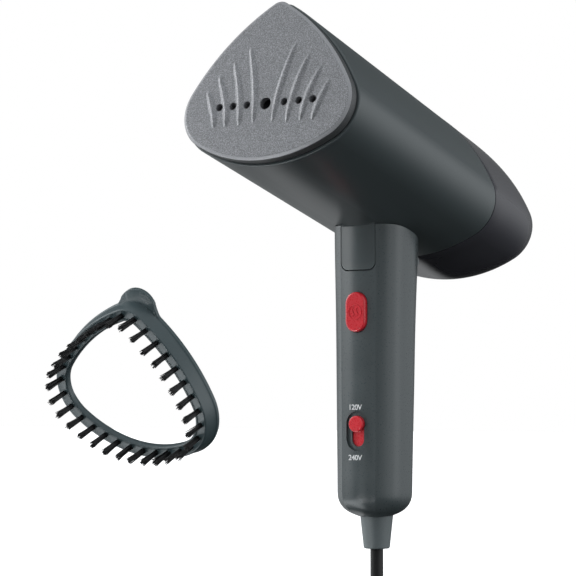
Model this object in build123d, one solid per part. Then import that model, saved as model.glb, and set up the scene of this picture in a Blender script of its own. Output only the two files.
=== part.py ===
from build123d import *
import os
import math
from math import sin, cos, sqrt, radians, hypot, pi

os.makedirs("parts", exist_ok=True)

# ---------------------------------------------------------------- driving dimensions (mm, degrees)
# Frame: origin at the middle of the hand grip, +Z up along the handle,
# -Y the way the steam plate faces, +X to the right when facing the plate.
HEAD_TILT = 13.93            # the head's axis drops this much towards the tank
PLATE_C = (0.0, -98.9, 118.25)   # centre of the row of steam holes, on the plate's face

# rounded-triangle outline of the plate, as tangent arcs in (x, p): apex, side, corner, bottom
APEX_R = 5.99
SIDE_C, SIDE_R = (-52.43, -43.37), 107.76     # centre of the right-hand side arc
CORNER_C, CORNER_R = (26.18, -1.13), 18.52
BOTTOM_Y, BOTTOM_R = 42.56, 69.45

PLATE_T = 5.0                # plate depth, front to back
GASKET_T = 1.0
HOUSING_OFF = 1.0            # housing stands this far outside the plate's outline
HOUSING_WALL = 2.6
HEAD_S0, HEAD_S1 = 6.0, 142.0    # housing, measured back from the plate's face
TANK_S1 = 203.6              # rear end of the tank
TANK_ROUND_S = 164.5         # where the tank starts to round off
TANK_ROUND_N = 3.8
TANK_AXIS_P = 26.8           # height of the line that the tank closes towards
TANK_WALL = 2.0
LINE_X, LINE_P = 0.0, -4.0      # line of the pump, hoses and tank valve

BIG_HOLE_D, SMALL_HOLE_D = 5.6, 3.3
HOLE_X = (9.95, 17.56, 24.93)
RIB_H = 0.9
RIBS = [                     # centre lines of the four ribs on one side, mirrored on the other
    [(12.3, 28.4), (8.6, 15.5), (6.1, 3.0), (5.0, -9.5)],
    [(20.1, 22.1), (16.2, 11.0), (13.8, 0.5), (12.6, -10.2)],
    [(27.4, 15.8), (23.6, 6.8), (21.0, -1.5), (19.9, -10.1)],
    [(32.6, 8.6), (29.9, 2.6), (27.7, -3.4), (26.1, -10.1)],
]
RIB_W = 2.3

GRIP_N = 2.5                 # exponent of the handle's rounded section
FACET_Y = -17.3              # flat front strip of the handle
GRIP_BF = 18.9
# stations up the handle: z, half width, depth behind the axis
GRIP = [(-58.5, 17.45, 12.9), (-40.0, 17.6, 13.9), (-10.0, 17.9, 15.8), (20.0, 18.2, 17.4),
        (45.0, 18.7, 19.2), (63.0, 19.05, 20.4), (80.0, 19.3, 21.2)]
GRIP_BOTTOM = -71.0
DOME_H = 12.6
GRIP_WALL = 2.4
PART_Y = 4.3                 # joint between the front and rear handle shells

HINGE_Y, HINGE_Z = 14.0, 53.3
HINGE_PIN_D = 5.0
TONGUE_W, TONGUE_Z0 = 18.6, 48.0

BTN_X, BTN_Z, BTN_W, BTN_H, BTN_PROUD = -0.6, 27.6, 10.9, 19.2, 2.3
BTN_TRAVEL = 1.5
SEL_X, SEL_Z, SEL_W, SEL_H = -0.8, -29.4, 11.8, 19.0
SEL_KNOB_Z, SEL_KNOB_D, SEL_TRAVEL = -26.0, 7.8, 6.5

SR_TOP, SR_BOT = -66.0, -86.2    # strain relief
SR_R0, SR_R1 = 8.1, 6.3
CORD_D = 6.3
HANK_R, HANK_RUN, HANK_TURNS, HANK_PITCH = 21.0, 100.0, 5, 6.6
HANK_TOP = -136.0            # centre height of the hank's upper folds

BRUSH_O = (-233.7, 110.5, -14.8)
BRUSH_X = (0.9588, 0.0833, -0.2715)
BRUSH_B = (0.0387, 0.9087, 0.4156)
BRUSH_IN, BRUSH_OUT, BRUSH_FLARE, BRUSH_DEPTH = 2.2, 10.0, 2.3, 11.6
TUFT_N, TUFT_L, TUFT_R = 31, 14.2, 1.4

t = radians(HEAD_TILT)
HEAD = Plane(origin=PLATE_C, x_dir=(1, 0, 0), z_dir=(0, -cos(t), sin(t))).location
BRUSH = Plane(origin=BRUSH_O, x_dir=BRUSH_X, z_dir=tuple(-v for v in BRUSH_B)).location

NODES = {}


def keep(name, shape, loc=None):
    if loc is not None:
        shape = loc * shape
    solids = [s for s in shape.solids() if s.volume > 0.05]
    NODES[name] = solids
    export_step(solids[0] if len(solids) == 1 else Compound(children=solids), f"parts/{name}.step")


def unit(a, b):
    d = hypot(a[0] - b[0], a[1] - b[1])
    return ((a[0] - b[0]) / d, (a[1] - b[1]) / d)


def pick_points(off):
    """Tangent points and arc middles of the right half of the outline, offset outwards by off."""
    R, rc, rb = SIDE_R + off, CORNER_R + off, BOTTOM_R + off
    ra = max(APEX_R + off, 2.0)
    ay = SIDE_C[1] + sqrt((R - ra) ** 2 - SIDE_C[0] ** 2)
    A, S, K, Bt = (0.0, ay), SIDE_C, CORNER_C, (0.0, BOTTOM_Y)
    uA, uK, uB = unit(A, S), unit(K, S), unit(K, Bt)
    def at(c, r, u): return (c[0] + r * u[0], c[1] + r * u[1])
    def mid(u, v):
        m = (u[0] + v[0], u[1] + v[1]); L = hypot(*m); return (m[0] / L, m[1] / L)
    return [(0.0, ay + ra), at(A, ra, uA), at(S, R, mid(uA, uK)), at(K, rc, uK),
            at(K, rc, mid(uK, uB)), at(K, rc, uB), (0.0, BOTTOM_Y - rb)]


def pick_face(off, z=0.0, k=1.0, cp=0.0):
    """The rounded-triangle face at height z, scaled by k about (0, cp)."""
    q = [(k * x, cp + k * (p - cp)) for x, p in pick_points(off)]
    def P(i, m=1): return (m * q[i][0], q[i][1], z)
    edges = [ThreePointArc(P(1, -1), P(0), P(1)), ThreePointArc(P(1), P(2), P(3)),
             ThreePointArc(P(3), P(4), P(5)), ThreePointArc(P(5), P(6), P(5, -1)),
             ThreePointArc(P(5, -1), P(4, -1), P(3, -1)), ThreePointArc(P(3, -1), P(2, -1), P(1, -1))]
    return make_face(Wire(edges))


def prism(off, s0, s1):
    """The outline extruded back from depth s0 to depth s1 behind the plate's face."""
    return extrude(pick_face(off, -s0), amount=s1 - s0, dir=(0, 0, -1))


def pin(x, p, s0, s1, r):
    return Pos(x, p, -(s0 + s1) / 2) * Cylinder(r, s1 - s0)


def boxs(x, p, s0, s1, w, h):
    return Pos(x, p, -(s0 + s1) / 2) * Box(w, h, s1 - s0)


# ================================================================ steam plate and boiler
plate = prism(0.0, 0.0, PLATE_T)
front = plate.edges().filter_by(Plane.XY).group_by(Axis.Z)[-1]
plate = chamfer(front, 0.8)
plate -= prism(-11.0, 2.8, PLATE_T)          # steam space behind the face
plate -= pin(0, 0, -1, PLATE_T, BIG_HOLE_D / 2)
for hx in HOLE_X:
    for m in (1, -1):
        plate -= pin(m * hx, 0, -1, PLATE_T, SMALL_HOLE_D / 2)
# raised ribs: tapered crescents that fan out towards the top
rib_solids = []
for line in RIBS:
    for m in (1, -1):
        c = Spline([(m * x, p, 0) for x, p in line])
        left, right = [], []
        for i in range(9):
            u = i / 8
            w = RIB_W / 2 * (max(0.0, 1 - (2 * u - 1) ** 4)) ** 0.5
            w = max(w, 0.12)
            pt, tg = c @ u, c % u
            nx, ny = -tg.Y, tg.X
            left.append((pt.X + nx * w, pt.Y + ny * w, 0))
            right.append((pt.X - nx * w, pt.Y - ny * w, 0))
        f = make_face(Wire([Spline(left), Line(left[-1], right[-1]), Spline(right[::-1]), Line(right[0], left[0])]))
        rib_solids.append(extrude(f, amount=RIB_H + 0.4, dir=(0, 0, 1)))
for r in rib_solids:
    plate += Pos(0, 0, -0.4) * r
keep("steam_plate", plate, HEAD)

keep("plate_gasket", prism(-0.5, PLATE_T, HEAD_S0) - prism(-6.0, PLATE_T - 1, HEAD_S0 + 1), HEAD)

BLOCK_S1 = 24.0
block = prism(-7.0, PLATE_T, BLOCK_S1) - prism(-12.0, PLATE_T - 1, PLATE_T + 3.0)
block -= pin(LINE_X, LINE_P, PLATE_T, BLOCK_S1 + 1, 2.0)
for x, p in ((-22, 6), (22, 6), (-14, -16), (14, -16), (0, 30)):
    block -= pin(x, p, 14.0, BLOCK_S1 + 1, 1.5)
keep("boiler_block", block, HEAD)

# U-shaped tubular heater lying on the back of the boiler block
el_path = Wire([Line((-15, -14, -28), (-15, 8, -28)), ThreePointArc((-15, 8, -28), (0, 23, -28), (15, 8, -28)),
                Line((15, 8, -28), (15, -14, -28))])
el = sweep(Plane(origin=(-15, -14, -28), z_dir=(0, 1, 0)) * Circle(3.9), path=el_path)
for m in (1, -1):
    el += Pos(m * 15, -16.5, -28) * Rot(90, 0, 0) * Cylinder(1.3, 5.2)
keep("heating_element", el, HEAD)

cover = prism(-11.0, 32.0, 34.0)
for x, p in ((-22, 6), (22, 6), (0, 30)):
    cover -= pin(x, p, 31, 35, 1.7)
cover -= pin(LINE_X, LINE_P, 31, 35, 4.15)
keep("boiler_cover", cover, HEAD)
scr = None
for x, p in ((-22, 6), (22, 6), (0, 30)):
    s = pin(x, p, 15.0, 34.0, 1.45) + pin(x, p, 34.0, 36.4, 2.9)
    s -= boxs(x, p, 35.4, 36.6, 0.8, 4.2)
    scr = s if scr is None else scr + s
keep("boiler_screws", scr, HEAD)

carrier = prism(-1.75, 9.0, 13.0) - prism(-6.9, 8.0, 14.0)
for x, p in ((0, 44.2), (-38, -1.5), (38, -1.5)):
    carrier -= pin(x, p, 8.0, 14.0, 0.9)
keep("boiler_carrier", carrier, HEAD)

fit = pin(LINE_X, LINE_P, 24.0, 36.5, 4.0) + pin(LINE_X, LINE_P, 36.5, 46.0, 2.4) - pin(LINE_X, LINE_P, 23.0, 47.0, 1.4)
keep("steam_inlet_fitting", fit, HEAD)

th = pin(0, 14, 34.0, 40.5, 8.0) + pin(0, 14, 40.5, 42.0, 5.5)
for m in (1, -1):
    th += boxs(m * 3.4, 14, 42.0, 49.0, 0.8, 5.0)
keep("thermostat", th, HEAD)
fuse = Pos(-14, -4, -37.2) * Rot(90, 0, 0) * Cylinder(2.1, 12)
fuse += Pos(-14, -4, -37.2) * Rot(90, 0, 0) * Cylinder(0.5, 18)
keep("thermal_fuse", fuse, HEAD)
clip = boxs(-14, -4, 34.0, 41.0, 8.0, 5.0) - Pos(-14, -4, -37.2) * Rot(90, 0, 0) * Cylinder(2.15, 8)
clip -= boxs(-14, -4, 37.4, 42.0, 2.6, 6.0)
keep("fuse_clip", clip, HEAD)

# ================================================================ pump and hoses, in line behind the boiler
keep("steam_hose", pin(LINE_X, LINE_P, 38.0, 66.0, 3.6) - pin(LINE_X, LINE_P, 37.0, 67.0, 2.42), HEAD)
pump = pin(LINE_X, LINE_P, 68.0, 108.0, 11.0) + pin(LINE_X, LINE_P, 60.0, 68.0, 2.38) + pin(LINE_X, LINE_P, 108.0, 118.0, 2.38)
pump += pin(LINE_X, LINE_P, 66.5, 69.0, 6.0) + pin(LINE_X, LINE_P, 107.0, 109.5, 6.0)
pump -= pin(LINE_X, LINE_P, 59.0, 67.0, 1.3)
pump -= pin(LINE_X, LINE_P, 110.0, 119.0, 1.3)
keep("pump", pump, HEAD)
coil = pin(LINE_X, LINE_P, 76.0, 100.0, 14.5) - pin(LINE_X, LINE_P, 75.0, 101.0, 11.05)
coil += boxs(LINE_X, LINE_P + 16, 80.0, 92.0, 12.0, 5.0) - pin(LINE_X, LINE_P, 75, 101, 12.0)
keep("pump_coil", coil, HEAD)
cradle = boxs(LINE_X, -17, 80.0, 96.0, 22.0, 20.0) & prism(-1.75, 70.0, 110.0)
cradle -= pin(LINE_X, LINE_P, 70.0, 110.0, 14.6)
keep("pump_cradle", cradle, HEAD)
keep("inlet_hose", pin(LINE_X, LINE_P, 110.5, 129.7, 3.6) - pin(LINE_X, LINE_P, 109.0, 134.0, 2.42), HEAD)

# ================================================================ rear bulkhead, tank and its valve
BULK_SCREWS = ((0, 43.5), (-40, -2), (40, -2))
bulk = prism(-1.75, 136.0, 139.0)
bulk += pin(LINE_X, LINE_P, 130.0, 136.0, 7.5) + pin(LINE_X, LINE_P, 122.0, 130.0, 2.38)
bulk -= pin(LINE_X, LINE_P, 131.5, 140.0, 5.05)
bulk -= pin(LINE_X, LINE_P, 121.0, 132.0, 1.3)
for x, p in BULK_SCREWS:
    bulk -= pin(x, p, 135, 140, 1.7)
keep("rear_bulkhead", bulk, HEAD)
bscr = None
for x, p in BULK_SCREWS:
    s = pin(x, p, 126.5, 139.0, 1.45) + pin(x, p, 139.0, 140.8, 2.5) - boxs(x, p, 140.0, 141, 0.8, 4.0)
    bscr = s if bscr is None else bscr + s
keep("bulkhead_screws", bscr, HEAD)


def tank_loft(off, s_first, s_end, k_shift=0.0):
    stations = [s_first, 152.0, TANK_ROUND_S, 174.0, 182.0, 189.0, 195.0, 199.0, 201.5, s_end]
    faces = []
    for s in stations:
        k = 1.0
        if s > TANK_ROUND_S:
            u = min((s - TANK_ROUND_S) / (TANK_S1 - TANK_ROUND_S), 0.9995)
            k = (1 - u ** TANK_ROUND_N) ** (1 / TANK_ROUND_N)
        faces.append(pick_face(off, -s - k_shift, k, TANK_AXIS_P))
    return loft(faces)


FILL_X, FILL_P, FILL_S = -33.3, 23.3, 156.0     # filler on the far flank of the tank
fn = unit((FILL_X, FILL_P), (-SIDE_C[0], SIDE_C[1]))
FILL = Plane(origin=(0, 0, 0), x_dir=(0, 0, 1), z_dir=(fn[0], fn[1], 0))
def fill_cyl(r, h0, h1):
    """A cylinder along the filler's axis; h is the distance from the side arc's centre."""
    c = (-SIDE_C[0] + fn[0] * (h0 + h1) / 2, SIDE_C[1] + fn[1] * (h0 + h1) / 2, -FILL_S)
    return Plane(origin=c, x_dir=(0, 0, 1), z_dir=(fn[0], fn[1], 0)).location * Cylinder(r, h1 - h0)
RO = SIDE_R + HOUSING_OFF
outer = tank_loft(HOUSING_OFF, HEAD_S1 + 0.3, 203.25)
inner = tank_loft(HOUSING_OFF - TANK_WALL, HEAD_S1 - 1, 203.25, -TANK_WALL)
tank = outer - inner - prism(HOUSING_OFF - TANK_WALL, HEAD_S1 - 1, HEAD_S1 + 8)
tank -= fill_cyl(6.6, RO - 6, RO + 3)
tank += (fill_cyl(8.6, RO - 3.2, RO - 1.2) - fill_cyl(6.6, RO - 7, RO + 1))
tank -= fill_cyl(9.6, RO - 0.9, RO + 5)
keep("tank_shell", tank, HEAD)

lid = prism(HOUSING_OFF - TANK_WALL - 0.05, HEAD_S1 + 0.3, HEAD_S1 + 2.8)
lid += prism(-2.0, HEAD_S1 - 1.0, HEAD_S1 + 0.3) - prism(-4.0, HEAD_S1 - 3, HEAD_S1 + 0.3)
lid += pin(LINE_X, LINE_P, 132.0, HEAD_S1 + 1, 4.98)
lid -= pin(LINE_X, LINE_P, 131, HEAD_S1 + 3, 2.6)
lid -= pin(LINE_X, LINE_P, 133.8, 135.6, 5.2) - pin(LINE_X, LINE_P, 133, 137, 3.9)
keep("tank_front", lid, HEAD)
seal = Pos(LINE_X, LINE_P, -134.7) * Torus(4.45, 0.55)
keep("tank_seal", seal, HEAD)
body = pin(LINE_X, LINE_P, HEAD_S1 + 2.8, 152.0, 5.0) - pin(LINE_X, LINE_P, HEAD_S1, 150.5, 3.4) - pin(LINE_X, LINE_P, 150, 153, 1.4)
for a in (0, 90):
    body -= Pos(LINE_X, LINE_P, -149) * Rot(0, 0, a) * Box(12, 2.0, 1.8)
keep("valve_cage", body, HEAD)
poppet = pin(LINE_X, LINE_P, 146.2, 147.6, 3.1) + pin(LINE_X, LINE_P, 134.5, 146.2, 1.1)
keep("tank_valve", poppet, HEAD)


def spring(x, y, z0, z1, r, w, turns):
    """A coil spring standing along +Z from z0 to z1, made of stacked straight-sided rings."""
    h = Helix(pitch=(z1 - z0 - 2 * w) / turns, height=(z1 - z0 - 2 * w), radius=r)
    prof = Plane(origin=h @ 0, z_dir=h % 0) * Circle(w / 2)
    return Pos(x, y, z0 + w) * sweep(prof, path=h, is_frenet=True)


keep("valve_spring", spring(LINE_X, LINE_P, -150.4, -147.7, 2.5, 0.4, 3), HEAD)
tube_c = FilletPolyline([(LINE_X, LINE_P, -152.1), (LINE_X, LINE_P, -162.0), (LINE_X, LINE_P - 7.0, -172.0), (LINE_X, LINE_P - 10.0, -184.0)], radius=8.0)
keep("pickup_tube", sweep(Plane(origin=(LINE_X, LINE_P, -152.1), z_dir=(0, 0, -1)) * (Circle(2.6) - Circle(1.5)), path=tube_c), HEAD)
e = tube_c @ 1; g = tube_c % 1
keep("pickup_weight", Plane(origin=(e.X + g.X * 3.2, e.Y + g.Y * 3.2, e.Z + g.Z * 3.2), z_dir=(g.X, g.Y, g.Z)).location * (Cylinder(4.2, 6.4) - Cylinder(1.5, 8)), HEAD)
stop = fill_cyl(9.2, RO - 0.85, RO + 1.0) + fill_cyl(6.4, RO - 6.5, RO - 0.85) - fill_cyl(4.0, RO - 7, RO - 2.0)
stop += Plane(origin=(-SIDE_C[0] + fn[0] * (RO + 1.4), SIDE_C[1] + fn[1] * (RO + 1.4), -FILL_S), x_dir=(0, 0, 1), z_dir=(fn[0], fn[1], 0)).location * Box(11.0, 2.4, 1.6)
keep("filler_stopper", stop, HEAD)

# ================================================================ head housing with the tongue over the handle
house = prism(HOUSING_OFF, HEAD_S0, HEAD_S1)
rims = house.edges().filter_by(Plane.XY)
house = fillet(rims.group_by(Axis.Z)[-1], 0.7)
house = fillet(house.edges().filter_by(Plane.XY).group_by(Axis.Z)[0], 0.5)
house -= prism(HOUSING_OFF - HOUSING_WALL, HEAD_S0 - 1, HEAD_S1 + 1)
for s0 in (7.0, 13.0):        # ledges that hold the boiler carrier
    house += (prism(-1.5, s0 + 0.2, s0 + 1.8) - prism(-3.4, s0 - 1, s0 + 4))
for x, p in BULK_SCREWS:    # screw bosses for the bulkhead
    b = pin(x, p, 124.0, 136.0, 3.6)
    if x == 0:
        b += boxs(0, 46.5, 124.0, 136.0, 5.0, 6.0)
    b = b & prism(-1.5, 120.0, 137.0)
    house += b
    house -= pin(x, p, 125.5, 137.0, 1.5)
house = HEAD * house
head_clear = HEAD * prism(HOUSING_OFF + 0.35, 40.0, 200.0)
head_inner = HEAD * prism(HOUSING_OFF - HOUSING_WALL, 40.0, 200.0)
head_solid = HEAD * prism(HOUSING_OFF, 40.0, 200.0)

# tongue: a flat strap that stands down from the housing over the front of the handle
tf = make_face(Wire([
    Line((-TONGUE_W / 2, 76, 0), (TONGUE_W / 2, 76, 0)), Line((TONGUE_W / 2, 76, 0), (TONGUE_W / 2, TONGUE_Z0 + 3.6, 0)),
    ThreePointArc((TONGUE_W / 2, TONGUE_Z0 + 3.6, 0), (TONGUE_W / 2 - 1.054, TONGUE_Z0 + 1.054, 0), (TONGUE_W / 2 - 3.6, TONGUE_Z0, 0)),
    Line((TONGUE_W / 2 - 3.6, TONGUE_Z0, 0), (-TONGUE_W / 2 + 3.6, TONGUE_Z0, 0)),
    ThreePointArc((-TONGUE_W / 2 + 3.6, TONGUE_Z0, 0), (-TONGUE_W / 2 + 1.054, TONGUE_Z0 + 1.054, 0), (-TONGUE_W / 2, TONGUE_Z0 + 3.6, 0)),
    Line((-TONGUE_W / 2, TONGUE_Z0 + 3.6, 0), (-TONGUE_W / 2, 76, 0))]))
XZ = Plane(origin=(0, 0, 0), x_dir=(1, 0, 0), z_dir=(0, -1, 0)).location
def front_slab(face, y0, y1):
    """A face drawn in X and Z, made solid from y0 back to y1."""
    return Pos(0, y1, 0) * (XZ * extrude(face, amount=y1 - y0, dir=(0, 0, 1)))

lug = Pos(0, HINGE_Y, HINGE_Z) * Rot(0, 90, 0) * Cylinder(5.6, 12.0)
lug += Pos(0, HINGE_Y + 0.6, HINGE_Z + 6.5) * Box(12.0, 9.0, 13.0)
foot = (Pos(0, HINGE_Y, 66.5) * Rot(-HEAD_TILT, 0, 0) * Box(30.0, 24.0, 8.5)) & (HEAD * prism(HOUSING_OFF - HOUSING_WALL - 0.05, 90.0, 135.0))
lug = lug + foot
lug -= Pos(0, HINGE_Y, HINGE_Z) * Rot(0, 90, 0) * Cylinder(HINGE_PIN_D / 2 + 0.05, 14)
for m in (1, -1):
    lug -= HEAD * (Pos(m * 10.5, -21, -115.5) * Rot(90, 0, 0) * Cylinder(1.6, 14))
keep("hinge_lug", lug)
hs = None
for m in (1, -1):
    s = HEAD * (Pos(m * 10.5, -22.5, -115.5) * Rot(90, 0, 0) * Cylinder(1.45, 8.2) + Pos(m * 10.5, -17.5, -115.5) * Rot(90, 0, 0) * Cylinder(2.7, 1.8))
    hs = s if hs is None else hs + s

# ================================================================ handle
def grip_pts(z, inset=0.0, n=30):
    zs = [g[0] for g in GRIP]
    zz = min(max(z, zs[0]), zs[-1])
    for i in range(len(GRIP) - 1):
        if GRIP[i][0] <= zz <= GRIP[i + 1][0]:
            u = (zz - GRIP[i][0]) / (GRIP[i + 1][0] - GRIP[i][0])
            A = GRIP[i][1] + u * (GRIP[i + 1][1] - GRIP[i][1])
            b = GRIP[i][2] + u * (GRIP[i + 1][2] - GRIP[i][2])
            break
    k, yc = 1.0, -1.5
    if z < zs[0]:
        h = min((zs[0] - z) / (DOME_H - 0.0), 0.999)
        k = (1 - h ** 2.4) ** (1 / 2.4)
    A, b, bf, fy = A - inset, b - inset, GRIP_BF - inset, -(FACET_Y) - inset
    xf = A * (1 - (fy / bf) ** GRIP_N) ** (1 / GRIP_N)
    a0 = None
    pts = []
    # angle where the facet starts
    th0 = -math.atan2((fy / bf) ** (GRIP_N / 2), (xf / A) ** (GRIP_N / 2))
    for i in range(n + 1):
        th = th0 + (math.pi - 2 * th0) * i / n
        c, s = math.cos(th), math.sin(th)
        x = A * math.copysign(abs(c) ** (2 / GRIP_N), c)
        d = b if s > 0 else bf
        y = d * math.copysign(abs(s) ** (2 / GRIP_N), s)
        pts.append((k * x, yc + k * (y - yc), z))
    return pts


def grip_face(z, inset=0.0, zz=None):
    pts = grip_pts(z, inset)
    if zz is not None:
        pts = [(a, b, zz) for a, b, _ in pts]
    return make_face(Wire([Spline(pts), Line(pts[-1], pts[0])]))


g_st = [GRIP_BOTTOM, -69.6, -67.4, -64.6, -61.6, -58.5, -54.5, -50.0, -30.0, -5.0, 20.0, 45.0, 63.0, 80.0]
g_out = loft([grip_face(z) for z in g_st])
tongue = front_slab(tf, FACET_Y, FACET_Y + 2.2) - head_solid
house = house + tongue
# slot in the floor for the hinge lug and the wires
house -= Pos(0, HINGE_Y + 1.0, 62) * Box(13.0, 15.0, 18)
house -= Pos(0, -2.0, 66) * Box(11.0, 10.0, 16)
for m in (1, -1):
    house -= HEAD * (Pos(m * 10.5, -20.0, -115.5) * Rot(90, 0, 0) * Cylinder(1.5, 14.0))
keep("head_housing", house)
g_in = loft([grip_face(z, GRIP_WALL, z + (GRIP_WALL if z < -55 else 0)) for z in [-69.6, -67.4, -64.6, -61.6, -58.5]] +
            [grip_face(z, GRIP_WALL) for z in [-50.0, -30.0, -5.0, 20.0, 45.0, 63.0, 82.0]])
grip = g_out - head_clear
shell = grip - g_in
# strain relief opening
shell -= Pos(0, 0, -70) * Cylinder(5.6, 12)
shell -= Pos(0, 0, -66.9) * Cylinder(8.3, 1.6)
shell -= Pos(0, 0, -71.3) * Cylinder(8.25, 4.0)


def stadium(w, h, zc):
    return Pos(0, zc, 0) * (Rectangle(w, h - w) + Pos(0, (h - w) / 2, 0) * Circle(w / 2) + Pos(0, -(h - w) / 2, 0) * Circle(w / 2))


def stad_slab(w, h, zc, y0, y1, x=0.0):
    f = stadium(w, h, zc).faces()[0]
    return Pos(x, 0, 0) * front_slab(f, y0, y1)


shell -= stad_slab(BTN_W + 0.5, BTN_H + 0.5, BTN_Z, FACET_Y - 5, FACET_Y + 5, BTN_X)
# selector: a shallow stadium recess with a slot through its floor
shell -= stad_slab(SEL_W, SEL_H, SEL_Z, FACET_Y - 5, FACET_Y + 1.0, SEL_X)
shell -= stad_slab(6.6, 14.8, SEL_Z, FACET_Y, FACET_Y + 6, SEL_X)
shell -= Pos(SEL_X, FACET_Y + 4.0, SEL_Z - 2.6) * Box(9.8, 4.0, 30.4)
# notch for the housing's tongue, and the ledge behind it
nf = make_face(Wire([
    Line((-TONGUE_W / 2 - 0.3, 90, 0), (TONGUE_W / 2 + 0.3, 90, 0)), Line((TONGUE_W / 2 + 0.3, 90, 0), (TONGUE_W / 2 + 0.3, TONGUE_Z0 + 3.3, 0)),
    ThreePointArc((TONGUE_W / 2 + 0.3, TONGUE_Z0 + 3.3, 0), (TONGUE_W / 2 - 0.84, TONGUE_Z0 + 0.54, 0), (TONGUE_W / 2 - 3.6, TONGUE_Z0 - 0.6, 0)),
    Line((TONGUE_W / 2 - 3.6, TONGUE_Z0 - 0.6, 0), (-TONGUE_W / 2 + 3.6, TONGUE_Z0 - 0.6, 0)),
    ThreePointArc((-TONGUE_W / 2 + 3.6, TONGUE_Z0 - 0.6, 0), (-TONGUE_W / 2 + 0.84, TONGUE_Z0 + 0.54, 0), (-TONGUE_W / 2 - 0.3, TONGUE_Z0 + 3.3, 0)),
    Line((-TONGUE_W / 2 - 0.3, TONGUE_Z0 + 3.3, 0), (-TONGUE_W / 2 - 0.3, 90, 0))]))
shell -= front_slab(nf, FACET_Y - 4, FACET_Y + 2.6)
ledge = (Pos(0, FACET_Y + 3.9, 50.5) * Box(21.0, 2.4, 13.0)) & (g_out - head_clear)
shell += ledge
# open slot at the rear top, where the hinge lug passes as the handle folds
shell -= Pos(0, HINGE_Y + 10, HINGE_Z + 4) * Box(13.2, 22, 22.0)
# the corner above the hinge is rounded so that it turns clear of the head
corner = Pos(0, HINGE_Y + 15, HINGE_Z + 15) * Box(60, 30, 30) - Pos(0, HINGE_Y, HINGE_Z) * Rot(0, 90, 0) * Cylinder(6.9, 70)
shell -= corner
# bosses that carry the hinge pin, inside each side wall
for m in (1, -1):
    boss = Pos(m * 11.2, HINGE_Y - 1.0, HINGE_Z) * Rot(0, 90, 0) * Cylinder(5.0, 9.0)
    boss = boss & (Pos(0, HINGE_Y, HINGE_Z) * Box(60, 13.6, 13.6))
    boss = boss & g_out
    shell += boss - corner
shell -= Pos(0, HINGE_Y, HINGE_Z) * Rot(0, 90, 0) * Cylinder(HINGE_PIN_D / 2, 31.0)
screw_z = (-46.0, 8.0, 36.0)
for z in screw_z:
    y1 = [p for p in grip_pts(z)][15][1]
    post = Pos(0, (y1 - 1.5 + PART_Y) / 2, z) * Rot(90, 0, 0) * Cylinder(3.6, y1 - 1.5 - PART_Y)
    shell += post & g_out
    post2 = Pos(0, (PART_Y - 6) / 2 + PART_Y / 2, z) * Rot(90, 0, 0) * Cylinder(3.0, 6.0)
front_half = shell & (Pos(0, PART_Y - 40, 0) * Box(100, 80, 400))
rear_half = shell & (Pos(0, PART_Y + 40, 0) * Box(100, 80, 400))
for z in screw_z:
    y1 = grip_pts(z)[15][1]
    rear_half -= Pos(0, y1 - 1.5, z) * Rot(90, 0, 0) * Cylinder(3.0, 4.0)
    rear_half -= Pos(0, 8, z) * Rot(90, 0, 0) * Cylinder(1.6, 30.0)
front_main = sorted(front_half.solids(), key=lambda s: -s.volume)[0]
rear_main = sorted(rear_half.solids(), key=lambda s: -s.volume)[0]

# carrier plate inside the grip: holds board, switches, screw posts and the cord clamp
car = (Pos(0, 0.2, -9.0) * Box(29.0, 2.4, 98.0)) & loft([grip_face(z, GRIP_WALL + 0.3) for z in [-58.0, -30.0, -5.0, 20.0, 45.0, 63.0]])
for z in screw_z:
    car += Pos(0, 0.1, z) * Rot(90, 0, 0) * Cylinder(3.4, 8.2)
    car -= Pos(0, 0, z) * Rot(90, 0, 0) * Cylinder(1.25, 12)
car -= Pos(9.0, 0, -2.0) * Box(5.0, 8, 14)
car -= Pos(0, 0, -56.0) * Box(CORD_D + 0.5, 8, 10.6)
for m in (1, -1):
    car -= Pos(m * 6.0, 0, -54.5) * Rot(90, 0, 0) * Cylinder(1.25, 12)
keep("switch_carrier", car)
hsc = None
for z in screw_z:
    y1 = grip_pts(z)[15][1]
    s = Pos(0, (y1 - 3.5 - 2.6) / 2, z) * Rot(90, 0, 0) * Cylinder(1.24, y1 - 3.5 + 2.6)
    s += Pos(0, y1 - 2.7, z) * Rot(90, 0, 0) * Cylinder(2.6, 1.6)
    s -= Pos(0, y1 - 1.9, z) * Box(0.8, 1.0, 3.8)
    s -= Pos(0, y1 - 1.9, z) * Box(3.8, 1.0, 0.8)
    hsc = s if hsc is None else hsc + s
keep("handle_screws", hsc)
keep("handle_front_shell", front_main)
keep("handle_rear_shell", rear_main)
keep("hinge_screws", hs)

pin_half = 14.8
keep("hinge_pin", Pos(0, HINGE_Y, HINGE_Z) * Rot(0, 90, 0) * Cylinder(HINGE_PIN_D / 2, 2 * pin_half))
w = None
for m in (1, -1):
    s = Pos(m * 6.35, HINGE_Y, HINGE_Z) * Rot(0, 90, 0) * (Cylinder(4.4, 0.5) - Cylinder(HINGE_PIN_D / 2, 2))
    w = s if w is None else w + s
keep("hinge_washers", w)

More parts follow.
